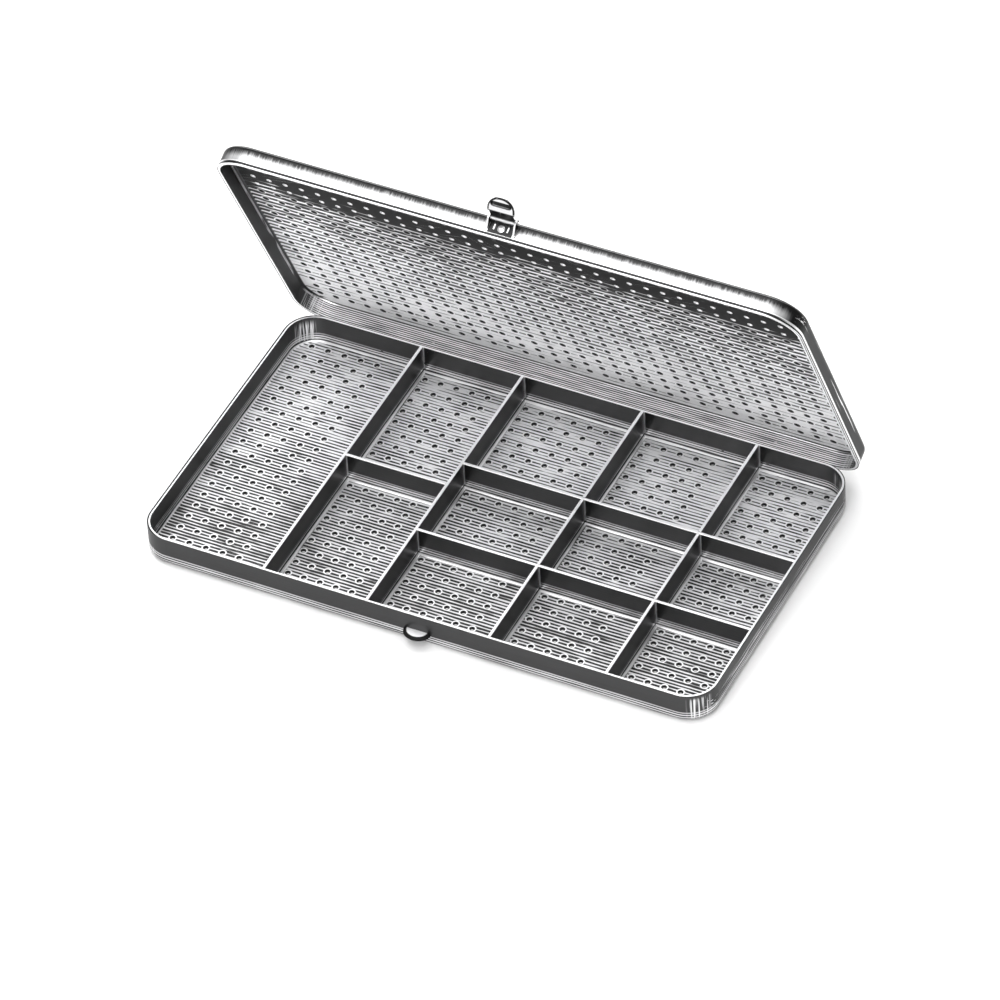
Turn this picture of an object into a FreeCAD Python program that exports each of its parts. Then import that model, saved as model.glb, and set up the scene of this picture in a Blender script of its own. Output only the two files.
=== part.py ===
import FreeCAD, Part
import math
import os
import Sketcher
from FreeCAD import Placement, Rotation, Vector as V

# Perforated instrument box: a shallow pressed tray with riveted-in dividers, and a
# slightly larger lid that slips down over the tray. Lid on two butt hinges at +Y,
# swing-down clasp on the lid's front wall at -Y. Millimetres, +Z up, origin at the
# centre of the tray's underside. The lid is written out standing open, as it rests.

os.makedirs("parts", exist_ok=True)
doc = FreeCAD.newDocument("instrument_box")
sheet = doc.addObject("Spreadsheet::Sheet", "Dims")

DIMS = [
    # overall: lid outside, closed height, sheet
    ("lid_len", 205.0), ("lid_wid", 120.0), ("closed_ht", 13.0), ("lid_depth", 7.3), ("sheet_t", 1.0),
    # tray outside
    ("tray_len", 202.0), ("tray_wid", 117.0), ("tray_ht", 11.3),
    # corners in plan and pressed edge radii (outside)
    ("lid_corner", 12.0), ("tray_corner", 10.5), ("lid_edge", 2.2), ("tray_edge", 2.5),
    # holes
    ("hole_rad", 0.75), ("row_pitch", 5.58), ("row_first", -52.5), ("row_count", 20),
    ("lid_col_pitch", 5.82), ("lid_col_count", 34), ("lid_row_pitch", 5.6), ("lid_row_count", 20),
    # dividers
    ("div_t", 1.0), ("cove", 1.2),
    ("div_x1", -55.2), ("div_x2", -18.2), ("div_x3", 25.2), ("div_x4", 66.4),
    ("cross_y_left", 1.2), ("cross_y_rear", 12.4), ("cross_y_front", -21.6),
    # hinges
    ("hinge_y", 61.4), ("hinge_z", 4.1), ("hinge_x", 62.0), ("hinge_len", 24.0),
    ("pin_rad", 0.8), ("knuckle_rad", 1.4), ("leaf_t", 0.6), ("run_gap", 0.05), ("knuckle_gap", 0.3),
    ("lid_knuckle_len", 7.4), ("open_angle", 65.0),
    # clasp
    ("clasp_y", -61.9), ("clasp_z", 11.7), ("clasp_pin_rad", 0.45), ("roll_rad", 0.95), ("roll_len", 8.2),
    ("arm_t", 0.5), ("arm_len", 4.4), ("tab_wid", 9.4), ("tab_len", 5.2), ("tab_bend", 30.0),
    ("cup_at", 2.75), ("cup_rad", 1.0), ("cup_half", 2.7), ("cup_wall", 0.4),
    ("bracket_t", 0.4), ("bracket_wid", 10.4), ("ear_t", 0.6), ("ear_in", 4.4), ("lever_open", 95.0),
    # catch on the tray
    ("catch_wid", 9.4), ("catch_out", 3.9), ("catch_top", 5.4), ("catch_t", 1.3),
]
D = {}
for i, (name, value) in enumerate(DIMS, start=1):
    sheet.set("A%d" % i, name)
    sheet.set("B%d" % i, repr(value))
    sheet.setAlias("B%d" % i, name)
    D[name] = float(value)
doc.recompute()


def origin_plane(body, role):
    for f in body.Origin.OriginFeatures:
        if f.Role == role:
            return f
    raise RuntimeError("no plane " + role)


def new_body(label):
    b = doc.addObject("PartDesign::Body", label)
    b.Label = label
    return b


def sketch_on(body, role, name, offset=None):
    s = body.newObject("Sketcher::SketchObject", name)
    s.AttachmentSupport = [(origin_plane(body, role), "")]
    s.MapMode = "FlatFace"
    if offset is not None:
        s.AttachmentOffset = offset
    return s


def add_poly(s, pts):
    n = len(pts)
    first = s.GeometryCount
    s.addGeometry([Part.LineSegment(V(*pts[i], 0), V(*pts[(i + 1) % n], 0)) for i in range(n)], False)
    for i in range(n):
        s.addConstraint(Sketcher.Constraint("Coincident", first + i, 2, first + (i + 1) % n, 1))


def rounded_poly(pts, radii):
    """Edges of a closed polygon in the XY plane with each corner rounded by its own radius."""
    geo = []
    n = len(pts)
    starts, ends = [], []
    arcs = []
    for i in range(n):
        p, q, r = V(*pts[i - 1], 0), V(*pts[i], 0), V(*pts[(i + 1) % n], 0)
        a, b = (p - q), (r - q)
        a.normalize()
        b.normalize()
        rad = radii[i]
        if rad <= 0:
            starts.append(q)
            ends.append(q)
            arcs.append(None)
            continue
        ang = math.acos(max(-1.0, min(1.0, a.dot(b))))
        d = rad / math.tan(ang / 2)
        t1, t2 = q + a * d, q + b * d
        mid_dir = a + b
        mid_dir.normalize()
        c = q + mid_dir * (rad / math.sin(ang / 2))
        m = c - mid_dir * rad
        starts.append(t1)
        ends.append(t2)
        arcs.append(Part.Arc(t1, m, t2))
    for i in range(n):
        if arcs[i] is not None:
            geo.append(arcs[i])
        j = (i + 1) % n
        if (starts[j] - ends[i]).Length > 1e-6:
            geo.append(Part.LineSegment(ends[i], starts[j]))
    return geo


def add_loop(s, geo):
    """Closed loop of lines and arcs in order, each starting where the last one ends."""
    s.addGeometry(geo, False)


def pad(body, sk, name, length=None, expr=None, midplane=False, reverse=False):
    p = body.newObject("PartDesign::Pad", name)
    p.Profile = sk
    p.Length = length if length is not None else 1.0
    p.Midplane = midplane
    p.Reversed = reverse
    if expr:
        p.setExpression("Length", expr)
    sk.Visibility = False
    doc.recompute()
    body.Tip = p
    return p


def pocket(body, sk, name, length=None, expr=None, midplane=False, less_than=True):
    before = body.Shape.Volume
    for rev in (False, True):
        p = body.newObject("PartDesign::Pocket", name)
        p.Profile = sk
        p.Length = length if length is not None else 1.0
        p.Midplane = midplane
        p.Reversed = rev
        if expr:
            p.setExpression("Length", expr)
        doc.recompute()
        if p.Shape.isValid() and p.Shape.Volume < before - 1e-4:
            body.Tip = p
            return p
        body.removeObject(p)
        doc.removeObject(p.Name)
        if midplane:
            break
    raise RuntimeError("pocket %s removes nothing" % name)


def pressed_tray(label, length, width, height, corner, edge, open_top):
    """A deep-drawn sheet tray: box, round corners, rolled edge, then hollowed to the sheet's thickness."""
    b = new_body(label)
    box = b.newObject("PartDesign::AdditiveBox", label + "_block")
    box.AttachmentSupport = [(origin_plane(b, "XY_Plane"), "")]
    box.MapMode = "FlatFace"
    box.setExpression("Length", "Dims." + length)
    box.setExpression("Width", "Dims." + width)
    box.setExpression("Height", "Dims." + height)
    box.setExpression("AttachmentOffset.Base.x", "-Dims.%s / 2" % length)
    box.setExpression("AttachmentOffset.Base.y", "-Dims.%s / 2" % width)
    doc.recompute()
    H = D[height]
    ups = ["Edge%d" % (i + 1) for i, e in enumerate(box.Shape.Edges)
           if abs(abs(e.tangentAt(e.FirstParameter).z) - 1) < 1e-6]
    f1 = b.newObject("PartDesign::Fillet", label + "_corners")
    f1.Base = (box, ups)
    f1.setExpression("Radius", "Dims." + corner)
    doc.recompute()
    zed = 0.0 if open_top else H
    flat = ["Edge%d" % (i + 1) for i, e in enumerate(f1.Shape.Edges)
            if all(abs(v.Z - zed) < 1e-6 for v in e.Vertexes)
            and abs(e.valueAt((e.FirstParameter + e.LastParameter) / 2).z - zed) < 1e-6]
    f2 = b.newObject("PartDesign::Fillet", label + "_edge")
    f2.Base = (f1, flat)
    f2.setExpression("Radius", "Dims." + edge)
    doc.recompute()
    mouth = H if open_top else 0.0
    faces = ["Face%d" % (i + 1) for i, f in enumerate(f2.Shape.Faces)
             if abs(f.CenterOfMass.z - mouth) < 1e-6 and abs(f.normalAt(0, 0).z) > 0.999]
    th = b.newObject("PartDesign::Thickness", label + "_hollow")
    th.Base = (f2, faces)
    th.Mode = 0
    th.Join = 0
    th.setExpression("Value", "Dims.sheet_t")
    full = f2.Shape.Volume
    for rev in (False, True):
        th.Reversed = rev
        doc.recompute()
        if 0.02 * full < th.Shape.Volume < 0.5 * full and abs(th.Shape.optimalBoundingBox(False).XLength - D[length]) < 1e-2:
            break
    b.Tip = th
    if not (0.02 * full < th.Shape.Volume < 0.5 * full):
        raise RuntimeError("%s: hollow went the wrong way (%g of %g)" % (label, th.Shape.Volume, full))
    bb = th.Shape.optimalBoundingBox(False)
    if abs(bb.XLength - D[length]) > 1e-2 or abs(bb.ZLength - H) > 1e-2:
        raise RuntimeError(label + ": hollow changed the outside size %s from %s" % (bb, f2.Shape.BoundBox))
    return b


def perforated_panel(name, outline_r, half_x, half_y, bounds, columns, ys, z):
    """Flat panel with rounded corners and rows of holes, made as strips side by side that are fused:
    bounds are the strips' edges in x, columns the hole columns in each strip."""
    t, r = D["sheet_t"], D["hole_rad"]
    strips = []
    for k, (xa, xb) in enumerate(zip(bounds, bounds[1:])):
        if k == 0:
            rim = rounded_poly([(xa, -half_y), (xb, -half_y), (xb, half_y), (xa, half_y)], [outline_r, 0, 0, outline_r])
        elif k == len(bounds) - 2:
            rim = rounded_poly([(xa, -half_y), (xb, -half_y), (xb, half_y), (xa, half_y)], [0, outline_r, outline_r, 0])
        else:
            rim = rounded_poly([(xa, -half_y), (xb, -half_y), (xb, half_y), (xa, half_y)], [0] * 4)
        wires = [Part.Wire(Part.__sortEdges__([g.toShape() for g in rim]))]
        wires += [Part.Wire([Part.Circle(V(x, y, 0), V(0, 0, 1), r).toShape()]) for x in columns[k] for y in ys]
        strips.append(Part.makeFace(wires, "Part::FaceMakerBullseye").extrude(V(0, 0, t)))
    sh = strips[0].multiFuse(strips[1:])
    n = sum(len(c) for c in columns) * len(ys)
    area = 4 * half_x * half_y - (4 - math.pi) * outline_r ** 2 - n * math.pi * r * r
    if len(sh.Solids) != 1 or abs(sh.Volume - area * t) > 0.002 * area * t:
        raise RuntimeError("%s: %d solids, %g not %g" % (name, len(sh.Solids), sh.Volume, area * t))
    o = doc.addObject("Part::Feature", name)
    o.Shape = sh.Solids[0]
    o.Placement = Placement(V(0, 0, z), Rotation())
    return o


def panel_opening(body, name, half_x, half_y, r):
    """The place in a pressed tray's flat that the perforated panel fills."""
    s = sketch_on(body, "XY_Plane", name)
    add_loop(s, rounded_poly([(-half_x, -half_y), (half_x, -half_y), (half_x, half_y), (-half_x, half_y)], [r] * 4))
    doc.recompute()
    before = body.Shape.Volume
    p = body.newObject("PartDesign::Pocket", name + "_cut")
    p.Profile = s
    p.Type = 1
    p.Midplane = True
    doc.recompute()
    want = (4 * half_x * half_y - (4 - math.pi) * r * r) * D["sheet_t"]
    got = before - p.Shape.Volume
    if abs(got - want) > 0.002 * want:
        raise RuntimeError("%s removed %g, not %g" % (name, got, want))
    body.Tip = p


# ---------------------------------------------------------------- tray
T = D["sheet_t"]
corner_c = (D["tray_len"] / 2.0 - D["tray_corner"], D["tray_wid"] / 2.0 - D["tray_corner"])   # corner arc centres
tray_shell = pressed_tray("base_tray_shell", "tray_len", "tray_wid", "tray_ht", "tray_corner", "tray_edge", True)
flat_r = D["tray_corner"] - D["tray_edge"] - 0.1
fx, fy = corner_c[0] + flat_r, corner_c[1] + flat_r
panel_opening(tray_shell, "floor_opening", fx, fy, flat_r)
cols = ([-94.3 + 6.05 * i for i in range(5)] + [-52.4 + 5.75 * i for i in range(5)]
        + [-15.6 + 5.85 * i for i in range(6)] + [28.6 + 5.85 * i for i in range(5)]
        + [69.8 + 5.75 * i for i in range(5)])
rows = [D["row_first"] + D["row_pitch"] * i for i in range(int(D["row_count"]))]
edges = [-fx, -corner_c[0]] + [(a + b) / 2 for a, b in zip(cols[1:-2], cols[2:-1])] + [corner_c[0], fx]
floor = perforated_panel("floor_panel", flat_r, fx, fy, edges, [[c] for c in cols], rows, 0.0)

# ---------------------------------------------------------------- lid (drawn shut, upside up)
lid_shell = pressed_tray("lid_tray_shell", "lid_len", "lid_wid", "lid_depth", "lid_corner", "lid_edge", False)
lid_cc = (D["lid_len"] / 2.0 - D["lid_corner"], D["lid_wid"] / 2.0 - D["lid_corner"])
lid_r = D["lid_corner"] - D["lid_edge"] - 0.1
lx, ly = lid_cc[0] + lid_r, lid_cc[1] + lid_r
panel_opening(lid_shell, "panel_opening", lx, ly, lid_r)
nc, nr = int(D["lid_col_count"]), int(D["lid_row_count"])
lid_cols = [(i - (nc - 1) / 2.0) * D["lid_col_pitch"] for i in range(nc)]
lid_rows = [(i - (nr - 1) / 2.0) * D["lid_row_pitch"] for i in range(nr)]
mids = [(a + b) / 2 for a, b in zip(lid_cols[1:-2], lid_cols[2:-1])]
panel = perforated_panel("lid_panel", lid_r, lx, ly, [-lx] + mids + [lx],
                         [lid_cols[:2]] + [[c] for c in lid_cols[2:-2]] + [lid_cols[-2:]],
                         lid_rows, D["lid_depth"] - T)


def rivet_holes(body, name, role, points, radius, depth_from, depth_to):
    """Round holes through a wall that stands in the XZ plane: points are (x, z)."""
    off = Placement(V(0, 0, -(depth_from + depth_to) / 2.0), Rotation())
    s = sketch_on(body, role, name, off)
    s.addGeometry([Part.Circle(V(x, z, 0), V(0, 0, 1), radius) for x, z in points], False)
    doc.recompute()
    return pocket(body, s, name + "_cut", length=abs(depth_to - depth_from), midplane=True)


HX, HL = D["hinge_x"], D["hinge_len"]
TY, LY = D["tray_wid"] / 2.0, D["lid_wid"] / 2.0
z0 = D["closed_ht"] - D["lid_depth"]          # lid rim's height when shut
base_riv = [(sx * HX + dx, 4.3) for sx in (-1, 1) for dx in (-8.0, 8.0)]
lid_riv = [(sx * HX + dx, 8.4) for sx in (-1, 1) for dx in (-8.0, 8.0)]
RV = 0.5                                       # rivet shank radius
# an XZ sketch looks along -Y, so its offset is the negative of y
rivet_holes(tray_shell, "tray_hinge_holes", "XZ_Plane", base_riv, RV, TY - 1.5, TY + 0.7)
rivet_holes(lid_shell, "lid_hinge_holes", "XZ_Plane", [(x, z - z0) for x, z in lid_riv], RV, LY - 1.5, LY + 0.7)
CRV = 0.7                                      # clasp rivet shank radius
clasp_riv_z = 8.9
rivet_holes(lid_shell, "lid_clasp_hole", "XZ_Plane", [(0.0, clasp_riv_z - z0)], CRV, -LY - 0.7, -LY + 1.5)


def join(label, a, b):
    o = doc.addObject("Part::MultiFuse", label)
    o.Shapes = [a, b]
    o.Refine = False
    doc.recompute()
    if len(o.Shape.Solids) != 1:
        raise RuntimeError(label + " is not one piece")
    o.Label = label
    return o


tray = join("base_tray", tray_shell, floor)
lid = join("lid_tray", lid_shell, panel)

# ---------------------------------------------------------------- dividers
TH = D["tray_ht"]
DT, CV = D["div_t"], D["cove"]
inner_y = TY - T
inner_x = D["tray_len"] / 2.0 - T

# the tray's inside as a solid, so that every divider ends exactly on the walls
core = doc.addObject("Part::Box", "cavity_block")
core.setExpression("Length", "Dims.tray_len - 2 * Dims.sheet_t")
core.setExpression("Width", "Dims.tray_wid - 2 * Dims.sheet_t")
core.setExpression("Height", "Dims.tray_ht - Dims.sheet_t")
core.setExpression("Placement.Base.x", "Dims.sheet_t - Dims.tray_len / 2")
core.setExpression("Placement.Base.y", "Dims.sheet_t - Dims.tray_wid / 2")
core.setExpression("Placement.Base.z", "Dims.sheet_t")
doc.recompute()
cavity0 = doc.addObject("Part::Fillet", "cavity_corners")
cavity0.Base = core
rc = D["tray_corner"] - T
cavity0.Edges = [(i + 1, rc, rc) for i, e in enumerate(core.Shape.Edges)
                 if abs(abs(e.tangentAt(e.FirstParameter).z) - 1) < 1e-6]
doc.recompute()
cavity = doc.addObject("Part::Fillet", "cavity")
cavity.Base = cavity0
rb = D["tray_edge"] - T
cavity.Edges = [(i + 1, rb, rb) for i, e in enumerate(cavity0.Shape.Edges)
                if all(abs(v.Z - T) < 1e-6 for v in e.Vertexes)
                and abs(e.valueAt((e.FirstParameter + e.LastParameter) / 2).z - T) < 1e-6]
doc.recompute()


def divider_section():
    """Web with a small cove on each side where it is brazed down: (across, up)."""
    h = DT / 2.0
    k = CV * (1 - math.sqrt(0.5))
    a, b = (h + CV, T), (h, T + CV)
    m = (h + k, T + k)
    tip = TH
    e = 0.12
    geo = [
        Part.LineSegment(V(-a[0], a[1], 0), V(a[0], a[1], 0)),
        Part.Arc(V(a[0], a[1], 0), V(m[0], m[1], 0), V(b[0], b[1], 0)),
        Part.LineSegment(V(b[0], b[1], 0), V(h, tip - e, 0)),
        Part.LineSegment(V(h, tip - e, 0), V(h - e, tip, 0)),
        Part.LineSegment(V(h - e, tip, 0), V(-h + e, tip, 0)),
        Part.LineSegment(V(-h + e, tip, 0), V(-h, tip - e, 0)),
        Part.LineSegment(V(-h, tip - e, 0), V(-b[0], b[1], 0)),
        Part.Arc(V(-b[0], b[1], 0), V(-m[0], m[1], 0), V(-a[0], a[1], 0)),
    ]
    return geo


def divider_bar(name, role, place, length_expr, length):
    b = new_body(name + "_bar")
    s = sketch_on(b, role, name + "_section")
    add_loop(s, divider_section())
    doc.recompute()
    pad(b, s, name + "_web", length=length, expr=length_expr, midplane=True)
    b.Placement = place
    return b


def common(name, a, b):
    c = doc.addObject("Part::MultiCommon", name)
    c.Shapes = [a, b]
    doc.recompute()
    return c


def cut(name, a, b):
    c = doc.addObject("Part::Cut", name)
    c.Base = a
    c.Tool = b
    doc.recompute()
    return c


def box(name, x0, x1, y0, y1, za, zb):
    o = doc.addObject("Part::Box", name)
    o.Length, o.Width, o.Height = x1 - x0, y1 - y0, zb - za
    o.Placement = Placement(V(x0, y0, za), Rotation())
    return o


def fuse(name, items):
    o = doc.addObject("Part::MultiFuse", name)
    o.Shapes = items
    doc.recompute()
    return o


half_z = (TH + T) / 2.0 + 0.4
longs = []
for i in (1, 2, 3, 4):
    nm = "divider_long_%d" % i
    b = divider_bar(nm, "XZ_Plane", Placement(), "Dims.tray_wid", D["tray_wid"])
    b.setExpression("Placement.Base.x", "Dims.div_x%d" % i)
    doc.recompute()
    c = common(nm + "_fit", b, cavity)
    if i in (3, 4):
        x = D["div_x%d" % i]
        n1 = box(nm + "_slot_rear", x - 2, x + 2, D["cross_y_rear"] - DT / 2, D["cross_y_rear"] + DT / 2, half_z, TH + 1)
        n2 = box(nm + "_slot_front", x - 2, x + 2, D["cross_y_front"] - DT / 2, D["cross_y_front"] + DT / 2, half_z, TH + 1)
        c = cut(nm, cut(nm + "_cut", c, n1), n2)
    c.Label = nm
    longs.append(c)

crosses = []
for nm, yk, xa, xb, near in (
        ("divider_cross_left", "cross_y_left", D["div_x1"] + DT / 2, D["div_x2"] - DT / 2, (0, 1)),
        ("divider_cross_rear", "cross_y_rear", D["div_x2"] + DT / 2, inner_x + 1, (1, 2, 3)),
        ("divider_cross_front", "cross_y_front", D["div_x2"] + DT / 2, inner_x + 1, (1, 2, 3))):
    b = divider_bar(nm, "YZ_Plane", Placement(), None, xb - xa)
    b.Placement = Placement(V((xa + xb) / 2.0, D[yk], 0), Rotation())
    b.setExpression("Placement.Base.y", "Dims." + yk)
    doc.recompute()
    c = common(nm + "_fit", b, cavity)
    for k in near:
        c = cut("%s_past_%d" % (nm, k + 1), c, longs[k])
    c.Label = nm
    crosses.append(c)

# ---------------------------------------------------------------- hinges
HY, HZ = D["hinge_y"], D["hinge_z"]
KR, PR, LT, RG, KG = D["knuckle_rad"], D["pin_rad"], D["leaf_t"], D["run_gap"], D["knuckle_gap"]
LK = D["lid_knuckle_len"] / 2.0


def cyl_x(name, r, x0, x1, y, z):
    o = doc.addObject("Part::Cylinder", name)
    o.Radius, o.Height = r, x1 - x0
    o.Placement = Placement(V(x0, y, z), Rotation(V(0, 1, 0), 90))
    return o


def cyl_y(name, r, y0, y1, x, z):
    o = doc.addObject("Part::Cylinder", name)
    o.Radius, o.Height = r, y1 - y0
    o.Placement = Placement(V(x, y0, z), Rotation(V(1, 0, 0), -90))
    return o


base_leaves, lid_leaves, pins = [], [], []
for side, sx in (("left", -1), ("right", 1)):
    c = sx * HX
    lo, hi = c - HL / 2, c + HL / 2
    nb = "hinge_leaf_base_" + side
    parts = [box(nb + "_plate", lo, hi, TY, TY + LT, HZ - KR, 5.2)]
    for k, (a, b) in enumerate(((lo, c - LK - KG), (c + LK + KG, hi))):
        parts.append(box("%s_web%d" % (nb, k), a, b, TY, HY, HZ - KR, HZ - KR + LT))
        kn = cyl_x("%s_knuckle%d" % (nb, k), KR, a, b, HY, HZ)
        kn.setExpression("Radius", "Dims.knuckle_rad")
        parts.append(kn)
    body = fuse(nb + "_blank", parts)
    bore = cyl_x(nb + "_bore", PR, lo - 1, hi + 1, HY, HZ)
    bore.setExpression("Radius", "Dims.pin_rad")
    o = cut(nb + "_bored", body, bore)
    for k, dx in enumerate((-8.0, 8.0)):
        o = cut("%s_hole%d" % (nb, k), o, cyl_y("%s_drill%d" % (nb, k), RV, TY - 1, TY + 2, c + dx, 4.3))
    o.Label = nb
    base_leaves.append(o)

    nl = "hinge_leaf_lid_" + side
    strip = box(nl + "_strip", c - LK, c + LK, LY, LY + LT, HZ, 8.0)
    plate = box(nl + "_plate", lo, hi, LY, LY + LT, z0 + 0.2, 10.4)
    pl = doc.addObject("Part::Fillet", nl + "_plate_round")
    doc.recompute()
    pl.Base = plate
    pl.Edges = [(i + 1, 1.2, 1.2) for i, e in enumerate(plate.Shape.Edges)
                if abs(abs(e.tangentAt(e.FirstParameter).y) - 1) < 1e-6 and e.CenterOfMass.z > 9]
    kn = cyl_x(nl + "_knuckle", KR, c - LK, c + LK, HY, HZ)
    kn.setExpression("Radius", "Dims.knuckle_rad")
    doc.recompute()
    body = fuse(nl + "_blank", [strip, pl, kn])
    bore = cyl_x(nl + "_bore", PR + RG, lo - 1, hi + 1, HY, HZ)
    bore.setExpression("Radius", "Dims.pin_rad + Dims.run_gap")
    o = cut(nl + "_bored", body, bore)
    for k, dx in enumerate((-8.0, 8.0)):
        o = cut("%s_hole%d" % (nl, k), o, cyl_y("%s_drill%d" % (nl, k), RV, LY - 1, LY + 2, c + dx, 8.4))
    o.Label = nl
    lid_leaves.append(o)

    np_ = "hinge_pin_" + side
    shaft = cyl_x(np_ + "_shaft", PR, lo - 0.5, hi + 0.5, HY, HZ)
    shaft.setExpression("Radius", "Dims.pin_rad")
    h1 = cyl_x(np_ + "_head_a", 1.15, lo - 0.5, lo, HY, HZ)
    h2 = cyl_x(np_ + "_head_b", 1.15, hi, hi + 0.5, HY, HZ)
    pin = fuse(np_, [shaft, h1, h2])
    pin.Label = np_
    pins.append(pin)


def rivet(name, x, z, y_wall, out, r_shank, r_head, head, depth):
    """Shank from inside the wall to the head; a low domed head proud of the leaf. out is +1 or -1 along Y."""
    b = new_body(name)
    s = sketch_on(b, "XY_Plane", name + "_half")
    # revolved about the sketch's Y axis: (radius, distance along the shank)
    rr = (r_head ** 2 + head ** 2) / (2 * head)
    k = math.sin(math.asin(r_head / rr) / 2)
    mid = (rr * k, depth + head - (rr - rr * math.cos(math.asin(r_head / rr) / 2)))
    geo = [
        Part.LineSegment(V(0, 0, 0), V(r_shank, 0, 0)),
        Part.LineSegment(V(r_shank, 0, 0), V(r_shank, depth, 0)),
        Part.LineSegment(V(r_shank, depth, 0), V(r_head, depth, 0)),
        Part.Arc(V(r_head, depth, 0), V(mid[0], mid[1], 0), V(0, depth + head, 0)),
        Part.LineSegment(V(0, depth + head, 0), V(0, 0, 0)),
    ]
    add_loop(s, geo)
    doc.recompute()
    rev = b.newObject("PartDesign::Revolution", name + "_turned")
    rev.Profile = s
    rev.ReferenceAxis = (s, ["V_Axis"])
    rev.Angle = 360.0
    doc.recompute()
    b.Tip = rev
    if out > 0:
        b.Placement = Placement(V(x, y_wall, z), Rotation())
    else:
        b.Placement = Placement(V(x, y_wall, z), Rotation(V(0, 0, 1), 180))
    doc.recompute()
    return b


def group(label, items):
    g = doc.addObject("Part::Compound", label)
    g.Links = items
    doc.recompute()
    g.Label = label
    return g


base_rivets = group("hinge_rivets_base", [
    rivet("rivet_base_%d" % (i + 1), x, z, TY - T, 1, RV, 0.8, 0.3, T + LT) for i, (x, z) in enumerate(base_riv)])
lid_rivets = group("hinge_rivets_lid", [
    rivet("rivet_lid_%d" % (i + 1), x, z, LY - T, 1, RV, 1.0, 0.4, T + LT) for i, (x, z) in enumerate(lid_riv)])

# ---------------------------------------------------------------- catch on the tray
catch = new_body("catch_lip")
s = sketch_on(catch, "XY_Plane", "catch_outline")
cw, co = D["catch_wid"] / 2.0, D["catch_out"]


def lip(deg):
    """Point of the lip's half-oval edge, from one end at the wall (0) round the nose (90) to the other (180)."""
    a = math.radians(deg)
    return V(cw * math.cos(a), -TY - co * math.sin(a), 0)


add_loop(s, [Part.Arc(lip(0), lip(22.5), lip(45)), Part.Arc(lip(45), lip(90), lip(135)),
             Part.Arc(lip(135), lip(157.5), lip(180)), Part.LineSegment(lip(180), lip(0))])
doc.recompute()
cp = pad(catch, s, "catch_plate", length=D["catch_t"], expr="Dims.catch_t")
top = ["Edge%d" % (i + 1) for i, e in enumerate(cp.Shape.Edges)
       if max(v.Y for v in e.Vertexes) < -TY + 0.01
       and min(abs(v.Z - cp.Shape.BoundBox.ZMin) for v in e.Vertexes) >= 0
       and abs(e.tangentAt((e.FirstParameter + e.LastParameter) / 2).z) < 0.1
       and not all(abs(v.Y + TY) < 1e-6 for v in e.Vertexes)]
cf = catch.newObject("PartDesign::Fillet", "catch_soft_edge")
cf.Base = (cp, top)
cf.Radius = 0.45
doc.recompute()
catch.Tip = cf
catch.setExpression("Placement.Base.z", "Dims.catch_top - Dims.catch_t")
doc.recompute()

# ---------------------------------------------------------------- clasp
PY, PZ = D["clasp_y"], D["clasp_z"]
BT, BW, ET, EI = D["bracket_t"], D["bracket_wid"] / 2.0, D["ear_t"], D["ear_in"]
foot_z = 7.1
# back plate, in the XZ plane
bracket = new_body("clasp_bracket")
s = sketch_on(bracket, "XZ_Plane", "bracket_plate", Placement(V(0, 0, LY), Rotation()))
add_loop(s, rounded_poly([(-BW, foot_z), (BW, foot_z), (BW, 10.3), (-BW, 10.3)], [0.8, 0.8, 0.3, 0.3]))
doc.recompute()
bp = pad(bracket, s, "bracket_back", length=BT, expr="Dims.bracket_t")
if bp.Shape.BoundBox.YMin > -LY - 0.01:
    bp.Reversed = True
    doc.recompute()
# ears: profile in the YZ plane, one at each side
pr = 1.05
ear = rounded_poly([(-LY, 7.9), (-LY - BT - 0.3, 7.9), (PY - pr, 10.4), (PY - pr, PZ + pr), (PY + pr, PZ + pr), (-LY, 10.2)],
                   [0, 0.3, 1.0, 1.04, 0.9, 0])
for k, xo in enumerate((EI, -EI - ET)):
    s = sketch_on(bracket, "YZ_Plane", "ear_outline_%d" % k, Placement(V(0, 0, xo), Rotation()))
    add_loop(s, ear)
    doc.recompute()
    pad(bracket, s, "ear_%d" % k, length=ET, expr="Dims.ear_t")
s = sketch_on(bracket, "YZ_Plane", "ear_bore")
s.addGeometry([Part.Circle(V(PY, PZ, 0), V(0, 0, 1), D["clasp_pin_rad"])], False)
doc.recompute()
pocket(bracket, s, "ear_bores", length=20.0, midplane=True)
s = sketch_on(bracket, "XZ_Plane", "bracket_rivet_hole", Placement(V(0, 0, LY), Rotation()))
s.addGeometry([Part.Circle(V(0, clasp_riv_z, 0), V(0, 0, 1), CRV)], False)
doc.recompute()
pocket(bracket, s, "bracket_rivet_bore", length=4.0, midplane=True)

# leaf spring under the rivet: a foot with two fingers that stand beside it
spring = new_body("clasp_spring")
s = sketch_on(spring, "XZ_Plane", "spring_outline", Placement(V(0, 0, LY + BT), Rotation()))
add_loop(s, rounded_poly(
    [(-2.9, 7.85), (2.9, 7.85), (2.9, 10.2), (1.9, 10.2), (1.9, 8.9 + 1.1), (-1.9, 8.9 + 1.1), (-1.9, 10.2), (-2.9, 10.2)],
    [0.3, 0.3, 0.3, 0.3, 0.0, 0.0, 0.3, 0.3]))
doc.recompute()
sp = pad(spring, s, "spring_leaf", length=0.15)
if sp.Shape.BoundBox.YMin > -LY - BT - 0.01:
    sp.Reversed = True
    doc.recompute()
s = sketch_on(spring, "XZ_Plane", "spring_hole", Placement(V(0, 0, LY + BT), Rotation()))
s.addGeometry([Part.Circle(V(0, clasp_riv_z, 0), V(0, 0, 1), CRV)], False)
doc.recompute()
pocket(spring, s, "spring_bore", length=2.0, midplane=True)
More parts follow.
